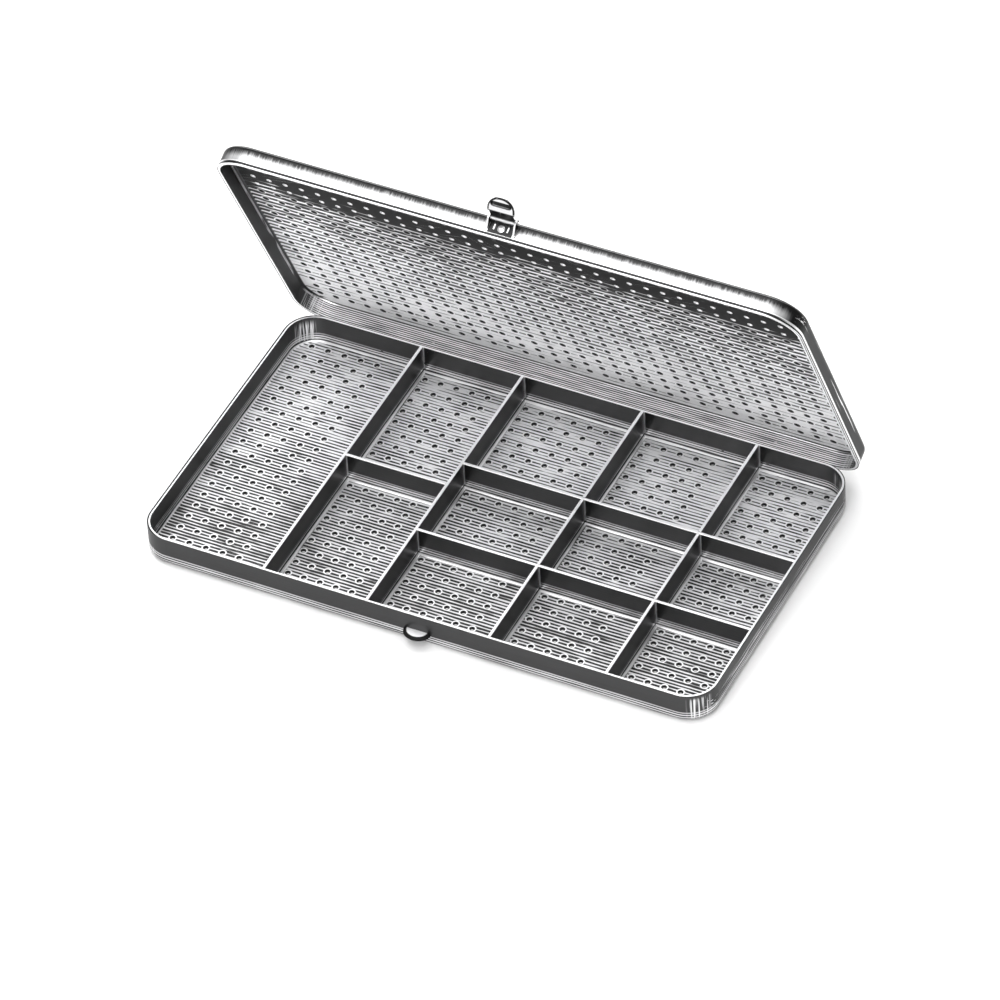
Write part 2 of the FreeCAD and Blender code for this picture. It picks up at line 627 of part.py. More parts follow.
# two raised ribs on the fingers, which press on the lever's roll
ribs = sketch_on(spring, "XZ_Plane", "finger_ribs", Placement(V(0, 0, LY + BT + 0.15), Rotation()))
for sx in (-1, 1):
    add_loop(ribs, rounded_poly([(sx * 2.4 - 0.22, 8.1), (sx * 2.4 + 0.22, 8.1), (sx * 2.4 + 0.22, 10.05), (sx * 2.4 - 0.22, 10.05)],
                                [0.2, 0.2, 0.2, 0.2]))
doc.recompute()
rb_ = pad(spring, ribs, "finger_rib", length=0.15)
if rb_.Shape.BoundBox.YMin > -LY - BT - 0.25:
    rb_.Reversed = True
    doc.recompute()

clasp_rivet = rivet("clasp_rivet", 0, clasp_riv_z, -(LY - T), -1, CRV, 1.25, 0.25, T + BT + 0.15)

clasp_pin = doc.addObject("Part::Cylinder", "clasp_pin_shaft")
clasp_pin.setExpression("Radius", "Dims.clasp_pin_rad")
clasp_pin.Height = 2 * (EI + ET)
clasp_pin.Placement = Placement(V(-(EI + ET), PY, PZ), Rotation(V(0, 1, 0), 90))
doc.recompute()
ph = [cyl_x("clasp_pin_head_%d" % k, 0.7, a, a + 0.3, PY, PZ) for k, a in enumerate((-(EI + ET) - 0.3, EI + ET))]
clasp_pin = fuse("clasp_pin", [clasp_pin] + ph)
clasp_pin.Label = "clasp_pin"

# lever: drawn hanging straight down from its pin at the local origin
lever = new_body("clasp_lever_blank")
AT, AL, RL = D["arm_t"], D["arm_len"], D["roll_len"] / 2.0
s = sketch_on(lever, "XZ_Plane", "arm_outline")
add_loop(s, rounded_poly([(-RL, 0.0), (RL, 0.0), (RL, -AL), (-RL, -AL)], [0] * 4))
doc.recompute()
pad(lever, s, "arm", length=AT, expr="Dims.arm_t", midplane=True)
s = sketch_on(lever, "YZ_Plane", "roll_outline")
s.addGeometry([Part.Circle(V(0, 0, 0), V(0, 0, 1), D["roll_rad"])], False)
doc.recompute()
pad(lever, s, "roll", length=D["roll_len"], expr="Dims.roll_len", midplane=True)
s = sketch_on(lever, "YZ_Plane", "bend_outline")
s.addGeometry([Part.Circle(V(0, -AL, 0), V(0, 0, 1), AT / 2)], False)
doc.recompute()
pad(lever, s, "bend", length=D["tab_wid"], expr="Dims.tab_wid", midplane=True)
bend = D["tab_bend"]
# local axes of a sketch on XZ: x along X, y along Z, normal along -Y
tab_at = Placement(V(0, -AL, 0), Rotation(V(1, 0, 0), -bend))
s = sketch_on(lever, "XZ_Plane", "tab_outline", tab_at)
tw, tl = D["tab_wid"] / 2.0, D["tab_len"]


def dee(w, length, y0, shoulder):
    """D outline hanging down from y0: straight top, straight shoulders, elliptical end cut into chords of an arc."""
    return [
        Part.LineSegment(V(w, y0, 0), V(-w, y0, 0)),
        Part.LineSegment(V(-w, y0, 0), V(-w, y0 - shoulder, 0)),
        Part.Arc(V(-w, y0 - shoulder, 0), V(-w * 0.8, y0 - shoulder - (length - shoulder) * 0.62, 0), V(-w * 0.42, y0 - length * 0.965, 0)),
        Part.Arc(V(-w * 0.42, y0 - length * 0.965, 0), V(0, y0 - length, 0), V(w * 0.42, y0 - length * 0.965, 0)),
        Part.Arc(V(w * 0.42, y0 - length * 0.965, 0), V(w * 0.8, y0 - shoulder - (length - shoulder) * 0.62, 0), V(w, y0 - shoulder, 0)),
        Part.LineSegment(V(w, y0 - shoulder, 0), V(w, y0, 0)),
    ]


add_loop(s, dee(tw, tl, 0.0, 1.1))
doc.recompute()
tab = pad(lever, s, "tab", length=AT, expr="Dims.arm_t", midplane=True)
s = sketch_on(lever, "YZ_Plane", "roll_bore")
s.addGeometry([Part.Circle(V(0, 0, 0), V(0, 0, 1), D["clasp_pin_rad"] + D["run_gap"])], False)
doc.recompute()
pocket(lever, s, "roll_bore_cut", length=20.0, midplane=True)

# the cup pressed into the tab: a trough with round ends, hollow on the side that faces the box when the
# clasp is shut, where the lip's nose sits in it, and proud on the outside, where the thumb goes
br = math.radians(bend)
reach = D["cup_at"]
cup_frame = Placement(V(0, -math.sin(br) * reach + math.cos(br) * AT / 2, -AL - math.cos(br) * reach - math.sin(br) * AT / 2),
                      Rotation(V(1, 0, 0), -bend))


def trough(name, r):
    half = D["cup_half"]
    items = [cyl_x(name + "_mid", r, -half, half, 0, 0)]
    for k, x in enumerate((-half, half)):
        b = doc.addObject("Part::Sphere", "%s_end%d" % (name, k))
        b.Radius = r
        b.Placement = Placement(V(x, 0, 0), Rotation())
        items.append(b)
    o = fuse(name, items)
    return o


outer = common("cup_outside", trough("cup_form", D["cup_rad"] + D["cup_wall"]), box("cup_side", -6, 6, -3, 0, -3, 3))
outer.Placement = cup_frame
inner = trough("cup_hollow", D["cup_rad"])
inner.Placement = cup_frame
doc.recompute()
lever = cut("clasp_lever", fuse("lever_with_cup", [lever, outer]), inner)
if len(lever.Shape.Solids) != 1:
    raise RuntimeError("clasp_lever is not one piece")

# ---------------------------------------------------------------- stand the lid open
shut_lid = Placement(V(0, 0, z0), Rotation())
hinge_at = V(0, HY, HZ)


def turn(point, angle):
    r = Rotation(V(1, 0, 0), angle)
    return Placement(point - r.multVec(point), r)


opened = turn(hinge_at, -D["open_angle"])
lid.Placement = opened.multiply(shut_lid)
for o in lid_leaves + [lid_rivets, bracket, spring, clasp_rivet, clasp_pin]:
    o.Placement = opened.multiply(o.Placement)
# the lever rests swung out, its arm leaning forward a little from upright
lever.Placement = opened.multiply(Placement(V(0, PY, PZ), Rotation(V(1, 0, 0), -D["lever_open"])))
doc.recompute()

NODES = {
    "base_tray": tray, "catch_lip": catch,
    "divider_long_1": longs[0], "divider_long_2": longs[1], "divider_long_3": longs[2], "divider_long_4": longs[3],
    "divider_cross_left": crosses[0], "divider_cross_rear": crosses[1], "divider_cross_front": crosses[2],
    "hinge_leaf_base_left": base_leaves[0], "hinge_leaf_base_right": base_leaves[1],
    "hinge_pin_left": pins[0], "hinge_pin_right": pins[1], "hinge_rivets_base": base_rivets,
    "lid_tray": lid, "hinge_leaf_lid_left": lid_leaves[0], "hinge_leaf_lid_right": lid_leaves[1],
    "hinge_rivets_lid": lid_rivets, "clasp_bracket": bracket, "clasp_spring": spring,
    "clasp_rivet": clasp_rivet, "clasp_pin": clasp_pin, "clasp_lever": lever,
}

bad = []
for o in doc.Objects:
    if "Invalid" in o.State or "Error" in o.State:
        bad.append("%s %s" % (o.Name, o.State))
for name, o in NODES.items():
    sh = o.Shape
    if sh.isNull() or not sh.isValid() or not sh.Solids or sh.Volume <= 0:
        bad.append(name + " shape")
if bad:
    raise RuntimeError("not clean: " + "; ".join(bad))
for name, o in NODES.items():
    sh = o.Shape
    bb = sh.BoundBox
    print("%-24s solids %d  vol %9.2f  x %.2f..%.2f y %.2f..%.2f z %.2f..%.2f" % (
        name, len(sh.Solids), sh.Volume, bb.XMin, bb.XMax, bb.YMin, bb.YMax, bb.ZMin, bb.ZMax))
    sh.exportStep("parts/%s.step" % name)
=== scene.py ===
import bpy, math
from mathutils import Matrix, Vector

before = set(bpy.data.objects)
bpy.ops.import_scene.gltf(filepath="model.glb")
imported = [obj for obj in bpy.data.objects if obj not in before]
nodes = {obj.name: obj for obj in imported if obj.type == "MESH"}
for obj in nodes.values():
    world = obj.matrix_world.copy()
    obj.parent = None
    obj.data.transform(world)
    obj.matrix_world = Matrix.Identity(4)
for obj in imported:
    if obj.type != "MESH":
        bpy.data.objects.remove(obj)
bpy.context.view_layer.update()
scene = bpy.context.scene

# ------------------------------------------------------------------ where things are (millimetres, box shut)
HINGE = Vector((0.0, 61.4, 4.1))
OPEN = math.radians(65.0)
PIVOT = Vector((0.0, -61.9, 11.7))
LEVER = math.radians(95.0)
TRAY_TOP, SHEET = 11.3, 1.0
TRAY_X, TRAY_Y = 101.0, 58.5
LID_X, LID_Y, LID_TOP, LID_RIM = 102.5, 60.0, 13.0, 5.7
TRAY_CORNER, LID_CORNER = 10.5, 12.0
TRAY_COLS = ((-94.3, 6.05, 5), (-52.4, 5.75, 5), (-15.6, 5.85, 6), (28.6, 5.85, 5), (69.8, 5.75, 5))
TRAY_ROWS = ((-52.5, 5.58, 20),)
LID_COLS = ((-16.5 * 5.82, 5.82, 34),)
LID_ROWS = ((-9.5 * 5.6, 5.6, 20),)

REST_LID = Matrix.Translation(HINGE) @ Matrix.Rotation(-OPEN, 4, "X") @ Matrix.Translation(-HINGE)
REST_LEVER = REST_LID @ Matrix.Translation(PIVOT) @ Matrix.Rotation(-LEVER, 4, "X")
FRAMES = {"base": Matrix.Identity(4), "lid": REST_LID.inverted(), "lever": REST_LEVER.inverted()}


# ------------------------------------------------------------------ material building
class Steel:
    """A Principled material with short helpers. Lengths in its maths are millimetres in the part's own shut position."""

    def __init__(self, name, where="base", metallic=1.0, anisotropic=0.0):
        self.m = bpy.data.materials.new(name)
        self.m.use_nodes = True
        self.t = self.m.node_tree
        self.t.nodes.clear()
        self.out = self.add("ShaderNodeOutputMaterial")
        self.b = self.add("ShaderNodeBsdfPrincipled")
        self.b.inputs["Metallic"].default_value = metallic
        self.b.inputs["Specular Tint"].default_value = (0.72, 0.72, 0.72, 1.0)   # duller at a glance, as used steel is
        self.t.links.new(self.b.outputs["BSDF"], self.out.inputs["Surface"])
        tc = self.add("ShaderNodeTexCoord")
        inv = FRAMES[where]
        mp = self.add("ShaderNodeMapping")
        mp.inputs["Scale"].default_value = (1000, 1000, 1000)
        mp.inputs["Rotation"].default_value = inv.to_euler("XYZ")
        mp.inputs["Location"].default_value = inv.to_translation()
        self.put(mp.inputs["Vector"], tc.outputs["Object"])
        self.co = mp.outputs["Vector"]
        self.x, self.y, self.z = self.split(self.co)
        mn = self.add("ShaderNodeMapping")
        mn.vector_type = "VECTOR"
        mn.inputs["Rotation"].default_value = inv.to_euler("XYZ")
        self.put(mn.inputs["Vector"], tc.outputs["Normal"])
        self.nx, self.ny, self.nz = self.split(mn.outputs["Vector"])

    def add(self, kind, **kw):
        n = self.t.nodes.new(kind)
        for k, v in kw.items():
            setattr(n, k, v)
        return n

    def put(self, socket, value):
        if isinstance(value, bpy.types.NodeSocket):
            self.t.links.new(value, socket)
        elif isinstance(value, (tuple, list)) and len(value) == 3 and socket.type == "RGBA":
            socket.default_value = (*value, 1.0)
        else:
            socket.default_value = value

    def split(self, v):
        n = self.add("ShaderNodeSeparateXYZ")
        self.put(n.inputs[0], v)
        return n.outputs[0], n.outputs[1], n.outputs[2]

    def f(self, op, a, b=0.0, clamp=False):
        n = self.add("ShaderNodeMath", operation=op, use_clamp=clamp)
        self.put(n.inputs[0], a)
        if len(n.inputs) > 1:
            self.put(n.inputs[1], b)
        return n.outputs[0]

    def mul(self, *a):
        r = a[0]
        for v in a[1:]:
            r = self.f("MULTIPLY", r, v)
        return r

    def plus(self, *a):
        r = a[0]
        for v in a[1:]:
            r = self.f("ADD", r, v)
        return r

    def top(self, *a):
        r = a[0]
        for v in a[1:]:
            r = self.f("MAXIMUM", r, v)
        return r

    def step(self, v, a, b, lo=0.0, hi=1.0):
        """Smooth change from lo at a to hi at b."""
        n = self.add("ShaderNodeMapRange", interpolation_type="SMOOTHSTEP")
        if a > b:
            a, b, lo, hi = b, a, hi, lo
        self.put(n.inputs["Value"], v)
        n.inputs["From Min"].default_value, n.inputs["From Max"].default_value = a, b
        n.inputs["To Min"].default_value, n.inputs["To Max"].default_value = lo, hi
        return n.outputs["Result"]

    def lerp(self, t, a, b):
        n = self.add("ShaderNodeMapRange", clamp=True)
        self.put(n.inputs["Value"], t)
        n.inputs["From Min"].default_value, n.inputs["From Max"].default_value = 0.0, 1.0
        self.put(n.inputs["To Min"], a)
        self.put(n.inputs["To Max"], b)
        return n.outputs["Result"]

    def noise(self, scales, detail=2.0, rough=0.5, distort=0.0, shift=(0, 0, 0)):
        """3-D noise whose features are 1/scale millimetres along each axis, about 0.5 in the middle."""
        mp = self.add("ShaderNodeMapping")
        mp.inputs["Scale"].default_value = scales
        mp.inputs["Location"].default_value = shift
        self.put(mp.inputs["Vector"], self.co)
        n = self.add("ShaderNodeTexNoise", noise_dimensions="3D")
        n.inputs["Scale"].default_value = 1.0
        n.inputs["Detail"].default_value = detail
        n.inputs["Roughness"].default_value = rough
        n.inputs["Distortion"].default_value = distort
        self.put(n.inputs["Vector"], mp.outputs["Vector"])
        return n.outputs["Fac"] if "Fac" in n.outputs else n.outputs[0]

    def scratches(self, angle, along=0.05, across=7.0, shift=(0, 0, 0)):
        """Sparse thin straight lines, 1 on a scratch."""
        mp = self.add("ShaderNodeMapping")
        mp.inputs["Rotation"].default_value = (0, 0, angle)
        mp.inputs["Location"].default_value = shift
        self.put(mp.inputs["Vector"], self.co)
        m2 = self.add("ShaderNodeMapping")
        m2.inputs["Scale"].default_value = (along, across, 0.3)
        self.put(m2.inputs["Vector"], mp.outputs["Vector"])
        n = self.add("ShaderNodeTexNoise", noise_dimensions="3D")
        n.inputs["Scale"].default_value = 1.0
        n.inputs["Detail"].default_value = 1.0
        self.put(n.inputs["Vector"], m2.outputs["Vector"])
        return self.mul(self.step(n.outputs[0], 0.70, 0.74), self.step(self.noise((0.05, 0.05, 0.05), 1.0, shift=shift), 0.5, 0.6))

    def hatch(self, v, pitch, dash, bias=0.0, soft=0.45, wobble=0.5):
        """Coarse grinding lines across v: about 1 on a light line, 0 between; bias widens the light lines."""
        wob = self.mul(self.f("SUBTRACT", self.noise((0.03, 0.03, 0.03), 1.0, shift=(9, 4, 2)), 0.5), wobble)
        wave = self.f("SINE", self.mul(self.plus(v, wob), 2.0 * math.pi / pitch))
        broken = self.mul(self.f("SUBTRACT", self.noise(dash, 2.0, 0.6), 0.5), 3.2)
        return self.step(self.plus(wave, broken, bias), -soft, soft)

    def near(self, v, groups):
        """Distance along one axis to the nearest line of groups of evenly spaced lines (first, pitch, count)."""
        best = None
        for first, pitch, count in groups:
            u = self.f("DIVIDE", self.f("SUBTRACT", v, first), pitch)
            k = self.f("MINIMUM", self.f("MAXIMUM", self.f("ROUND", u), 0.0), float(count - 1))
            d = self.f("ABSOLUTE", self.mul(self.f("SUBTRACT", u, k), pitch))
            best = d if best is None else self.f("MINIMUM", best, d)
        return best

    def hole_distance(self, cols, rows):
        dx, dy = self.near(self.x, cols), self.near(self.y, rows)
        return self.f("SQRT", self.plus(self.mul(dx, dx), self.mul(dy, dy)))

    def within(self, hx, hy, radius, inset):
        """1 inside a rounded rectangle shrunk by inset, 0 outside it."""
        qx = self.f("MAXIMUM", self.f("SUBTRACT", self.f("ABSOLUTE", self.x), hx - radius), 0.0)
        qy = self.f("MAXIMUM", self.f("SUBTRACT", self.f("ABSOLUTE", self.y), hy - radius), 0.0)
        return self.step(self.f("SQRT", self.plus(self.mul(qx, qx), self.mul(qy, qy))), radius - inset + 0.06, radius - inset - 0.06)

    def grey(self, v, tint=(1.0, 1.0, 1.0)):
        n = self.add("ShaderNodeCombineColor")
        for k in range(3):
            self.put(n.inputs[k], v if tint[k] == 1.0 else self.mul(v, tint[k]))
        return n.outputs[0]

    def finish(self, base, rough, height=None, bump=0.3, depth=0.00006, tint=(1.0, 1.0, 1.0)):
        self.put(self.b.inputs["Base Color"], self.grey(base, tint))
        self.put(self.b.inputs["Roughness"], rough)
        if height is not None:
            n = self.add("ShaderNodeBump")
            n.inputs["Strength"].default_value = bump
            n.inputs["Distance"].default_value = depth
            self.put(n.inputs["Height"], height)
            self.put(self.b.inputs["Normal"], n.outputs["Normal"])
        return self.m


TINT = (1.0, 1.0, 1.01)


DIVIDERS_X = (-55.2, -18.2, 25.2, 66.4)
# Painted shade for the upright walls and divider sides; painted highlight white for rims, hole rings, corner lines, the
# lid's lower band and the catch's top.
PAINTED_SHADE, PAINTED_LIGHT = 0.06, 0.97


def junction_highlight(s):
    """Painted highlight: a bright upright line in the corner to the right of each long divider."""
    best = None
    for xd in DIVIDERS_X:
        d = s.f("ABSOLUTE", s.f("SUBTRACT", s.x, xd + 0.78))
        best = d if best is None else s.f("MINIMUM", best, d)
    return s.step(best, 0.34, 0.2)


def sheet_steel(name, lid):
    """Perforated pressed sheet: flats ground along the length, their line tone carrying painted light and shade; drawn
    walls in painted shade with lines of painted light in the coves; worn rims painted bright as a highlight; a
    burnished ring round each hole painted highlight white, with painted shade in and round the holes.
    """
    s = Steel(name, "lid" if lid else "base")
    flat = s.step(s.f("ABSOLUTE", s.nz), 0.80, 0.97)
    cloud = s.noise((0.03, 0.03, 0.03), 3.0, 0.55, 0.6)
    patch = s.f("SUBTRACT", s.noise((0.07, 0.07, 0.07), 2.0, 0.6, shift=(31, 8, 4)), 0.5)
    fine_flat = s.noise((0.06, 4.5, 2.0), 2.0, 0.6, shift=(3, 7, 1))
    fine_wall = s.noise((0.06, 0.06, 4.5), 2.0, 0.6, shift=(3, 7, 1))
    fine = s.lerp(flat, fine_wall, fine_flat)
    scr = s.mul(s.top(s.scratches(0.35), s.scratches(-0.8, shift=(11, 5, 2))), flat)
    level = s.hatch(s.z, 1.0, (0.05, 0.05, 1.2), 0.0, 0.6, 0.2)           # lines level round the walls
    upright = s.noise((1.7, 1.7, 0.05), 2.0, 0.6)                          # upright strokes of painted highlight up the corners
    corner = s.step(s.mul(s.f("ABSOLUTE", s.nx), s.f("ABSOLUTE", s.ny)), 0.30, 0.47)
    end_wall = s.step(s.f("ABSOLUTE", s.nx), 0.75, 0.95)
    rh = s.hole_distance(LID_COLS if lid else TRAY_COLS, LID_ROWS if lid else TRAY_ROWS)
    ring = s.mul(s.step(rh, 1.85, 1.50) if lid else s.step(rh, 1.60, 1.25), flat)
    # Holes and a margin round them, where shade is painted; near the lid's free edge light shining through is painted
    # there instead.
    hole_shade_and_light = s.step(rh, 1.22, 1.12) if lid else s.step(rh, 1.00, 0.90)
    # Painted highlight: long bright streaks along the end walls.
    long_highlight_streak = s.mul(s.step(s.noise((0.9, 0.022, 1.9), 2.0, 0.6, shift=(2, 2, 7)), 0.60, 0.66), end_wall)
    corner_highlight = s.mul(corner, s.step(upright, 0.46, 0.60))
    if not lid:
        inside = s.within(TRAY_X, TRAY_Y, TRAY_CORNER, 0.4)
        up = s.step(s.nz, 0.0, 0.2)
        rim = s.mul(s.step(s.z, TRAY_TOP - 0.30, TRAY_TOP - 0.22), s.step(s.nz, 0.3, 0.6))
        # Upright walls in painted shade, with lines of painted bounce light low down at their coves.
        foot = s.lerp(inside, s.step(s.z, 4.9, 3.9), s.step(s.z, 4.9, 3.4))
        wall = s.lerp(s.mul(foot, level), PAINTED_SHADE, 0.72)
        # Painted highlight: upright strokes on the lower outer front corners and the inner back corners.
        side = s.lerp(inside, s.lerp(s.step(s.x, 0.0, 1.0), s.step(s.z, 5.5, 3.5), s.step(s.z, 10.8, 9.4)), s.mul(s.step(s.z, 10.6, 7.5), s.step(s.y, 40.0, 50.0)))
        wall = s.lerp(s.mul(corner_highlight, side), wall, 0.80)
        wall = s.lerp(s.mul(long_highlight_streak, s.step(inside, 0.5, 0.4), s.step(s.z, 8.2, 7.2)), wall, 0.85)
        wall = s.lerp(s.mul(inside, junction_highlight(s), s.step(s.y, 57.0, 57.3), s.step(s.z, 2.0, 3.0)), wall, PAINTED_LIGHT)
        # Floor grinding lines whose tone is painted light and shade: lighter toward the back, darker at the front and
        # in the left compartment.
        lines = s.hatch(s.y, 1.38, (0.10, 0.8, 0.3), s.plus(s.lerp(s.step(s.y, -55.0, 55.0), -0.32, 0.62), s.mul(s.step(s.x, -54.0, -56.0), -0.15), s.mul(patch, 1.2)), 0.40)
        plate = s.lerp(up, s.lerp(s.noise((0.03, 1.6, 1.0), 3.0, 0.6), 0.42, 0.78), s.lerp(lines, 0.06, s.lerp(s.step(s.y, -55.0, 30.0), 0.82, 0.98)))
        # Burnished ring round each hole, painted up to highlight white.
        plate = s.lerp(s.mul(ring, up), plate, PAINTED_LIGHT)
        # Painted shade in the holes and on the flat round them.
        plate = s.lerp(hole_shade_and_light, plate, 0.05)
    else:
        inside = s.mul(s.within(LID_X, LID_Y, LID_CORNER, 0.4), s.step(s.z, LID_TOP - 0.4, LID_TOP - 0.5))
        down = s.step(s.nz, 0.0, -0.2)
        rim = s.mul(s.step(s.z, LID_RIM + 0.30, LID_RIM + 0.22), s.step(s.nz, -0.3, -0.6))
        # outside: front wall in painted highlight, its rounded edge in painted shade in upright strokes; end walls in
        # painted shade with painted highlight streaks
        front = s.step(s.ny, -0.62, -0.9)
        stroke = s.noise((2.2, 0.05, 0.05), 2.0, 0.6, shift=(1, 1, 1))
        shade = s.plus(s.step(s.z, 8.0, 10.9), s.mul(s.f("SUBTRACT", stroke, 0.5), 0.9))
        # Painted highlight band along the lid's lower edge.
        lip_highlight_band = s.step(s.z, 7.30, 7.20)
        outer = s.lerp(s.step(s.z, 10.6, 11.3), s.lerp(front, 0.02, s.lerp(shade, 0.66, 0.03)), 0.02)
        outer = s.lerp(s.mul(long_highlight_streak, s.step(s.z, 8.2, 8.8)), outer, 0.85)
        outer = s.lerp(lip_highlight_band, outer, PAINTED_LIGHT)
        # A thin line of painted shade just above the lid's lower edge.
        outer = s.lerp(s.mul(s.step(s.z, 5.95, 6.0), s.lerp(front, s.step(s.z, 6.55, 6.49), s.step(s.z, 6.90, 6.84))), outer, 0.03)
        # inside: the wall by the hinge in lines of painted half-light, the others in painted shade with a broken line
        # of painted light in the cove
        rear = s.step(s.ny, -0.5, -0.85)
        cove = s.mul(s.step(s.z, 10.35, 10.6), s.step(s.z, 11.3, 11.1), s.step(s.noise((0.05, 0.05, 0.4), 2.0, 0.5), 0.40, 0.50))
        inner = s.lerp(rear, s.lerp(cove, 0.085, 0.80), s.lerp(s.hatch(s.z, 0.70, (0.05, 0.05, 1.2), -0.2, 0.6, 0.2), 0.06, 0.85))
        inner = s.lerp(s.mul(corner_highlight, s.step(s.y, 40.0, 50.0)), inner, 0.8)
        wall = s.lerp(inside, outer, inner)
        # inside of the panel: painted shade along the free edge, painted light growing toward the hinge
        panel_light_and_shade_bias = s.lerp(s.step(s.y, -47.0, -20.0), -2.8, s.lerp(s.step(s.y, -25.0, 54.0), -0.45, 1.00))
        lines = s.hatch(s.y, 2.85, (0.10, 0.45, 0.3), s.plus(panel_light_and_shade_bias, s.mul(patch, 1.6)), 0.50)
        plate_in = s.lerp(lines, s.lerp(s.step(s.y, -46.0, 40.0), 0.04, 0.16), 0.99)
        plate = s.lerp(down, s.lerp(s.noise((0.03, 1.6, 1.0), 3.0, 0.6), 0.16, 0.52), plate_in)
        # Near the free edge the holes are painted as bright dots of light shining through; further in, painted
        # highlight rings round holes in painted shade, brighter toward the hinge.
        free = s.step(s.y, -27.6, -28.4)
        ring_highlight_level = s.lerp(down, 0.70, s.mul(s.step(s.y, -28.5, 0.0, 0.45, 1.0), s.f("SUBTRACT", 1.0, free)))
        plate = s.lerp(s.mul(ring, ring_highlight_level), plate, s.lerp(down, 0.60, PAINTED_LIGHT))
        lit_hole_zone = s.mul(free, down)
        bright = s.step(s.y, -38.8, -39.6, 0.97, 0.25)
        plate = s.lerp(s.mul(hole_shade_and_light, s.f("SUBTRACT", 1.0, lit_hole_zone)), plate, 0.05)
        plate = s.lerp(s.mul(lit_hole_zone, s.step(rh, 0.95, 0.85)), plate, bright)
    base = s.lerp(flat, wall, plate)
    base = s.lerp(s.mul(hole_shade_and_light, s.step(flat, 0.9, 0.5)), base, 0.06 if not lid else s.lerp(s.mul(free, s.step(s.z, 12.55, 12.42)), 0.05, bright))
    # Rims worn and painted bright as a highlight, with a thin line of painted shade along their outer edge.
    if lid:
        rim_edge_shade = s.lerp(s.within(LID_X, LID_Y, LID_CORNER, 0.32), s.step(s.y, -56.0, -50.0), 0.0)
    else:
        left = s.f("SUBTRACT", 1.0, s.within(TRAY_X, TRAY_Y, TRAY_CORNER, 0.55))
        rim_edge_shade = s.top(s.f("SUBTRACT", 1.0, s.within(TRAY_X, TRAY_Y, TRAY_CORNER, 0.32)), s.mul(left, s.step(s.x, -90.0, -96.0)))
    base = s.lerp(rim, base, s.lerp(rim_edge_shade, PAINTED_LIGHT, 0.04))
    base = s.mul(base, s.lerp(cloud, 0.88, 1.10), s.lerp(fine, 0.90, 1.10))
    base = s.f("MINIMUM", s.lerp(s.mul(scr, 0.45), base, 0.85), 0.98)
    rough = s.lerp(flat, 0.34, 0.60)
    if lid:
        rough = s.lerp(s.mul(inside, flat), rough, 0.74)
    rough = s.lerp(hole_shade_and_light, rough, 0.60)
    rough = s.lerp(rim, rough, 0.60)
    rough = s.plus(rough, s.mul(s.f("SUBTRACT", cloud, 0.5), 0.16), s.mul(s.f("SUBTRACT", fine, 0.5), 0.10), s.mul(scr, -0.08))
    height = s.plus(s.mul(lines, flat, 0.3), s.mul(fine, 0.6), s.mul(ring, 0.9), s.mul(scr, -0.5))
    return s.finish(base, rough, height, 0.30, 0.00004, TINT)


def divider_steel(name):
    """Slit strip, ground along its length, its sides in painted shade, its sheared top edges painted bright as a
    highlight, and lines of painted light along the foot where it is brazed down.
    """
    s = Steel(name)
    fine = s.noise((0.08, 0.08, 5.0), 2.0, 0.6, shift=(5, 2, 9))
    cloud = s.noise((0.05, 0.05, 0.08), 3.0, 0.55, 0.5)
    level = s.hatch(s.z, 1.0, (0.05, 0.05, 1.2), 0.1, 0.6, 0.2)
    rim = s.mul(s.step(s.z, TRAY_TOP - 0.30, TRAY_TOP - 0.22), s.step(s.nz, 0.3, 0.6))
    across = s.step(s.f("ABSOLUTE", s.ny), 0.6, 0.8)
    # Sides in painted shade with lines of painted light low down, the band taller on the faces across the tray.
    foot = s.lerp(across, s.step(s.z, 3.4, 2.6), s.step(s.z, 4.8, 3.6))
    base = s.lerp(s.mul(foot, level), PAINTED_SHADE, 0.74)
    base = s.lerp(s.mul(junction_highlight(s), s.step(s.ny, -0.6, -0.8), s.step(s.z, 2.0, 3.0)), base, PAINTED_LIGHT)
    base = s.lerp(rim, base, PAINTED_LIGHT)
    base = s.mul(base, s.lerp(cloud, 0.86, 1.12), s.lerp(fine, 0.90, 1.10))
    base = s.f("MINIMUM", base, 0.98)
    rough = s.plus(s.lerp(rim, 0.36, 0.60), s.mul(s.f("SUBTRACT", cloud, 0.5), 0.18), s.mul(s.f("SUBTRACT", fine, 0.5), 0.12))
    height = s.plus(s.mul(level, 0.4), s.mul(fine, 0.6))
    return s.finish(base, rough, height, 0.3, 0.00004, TINT)


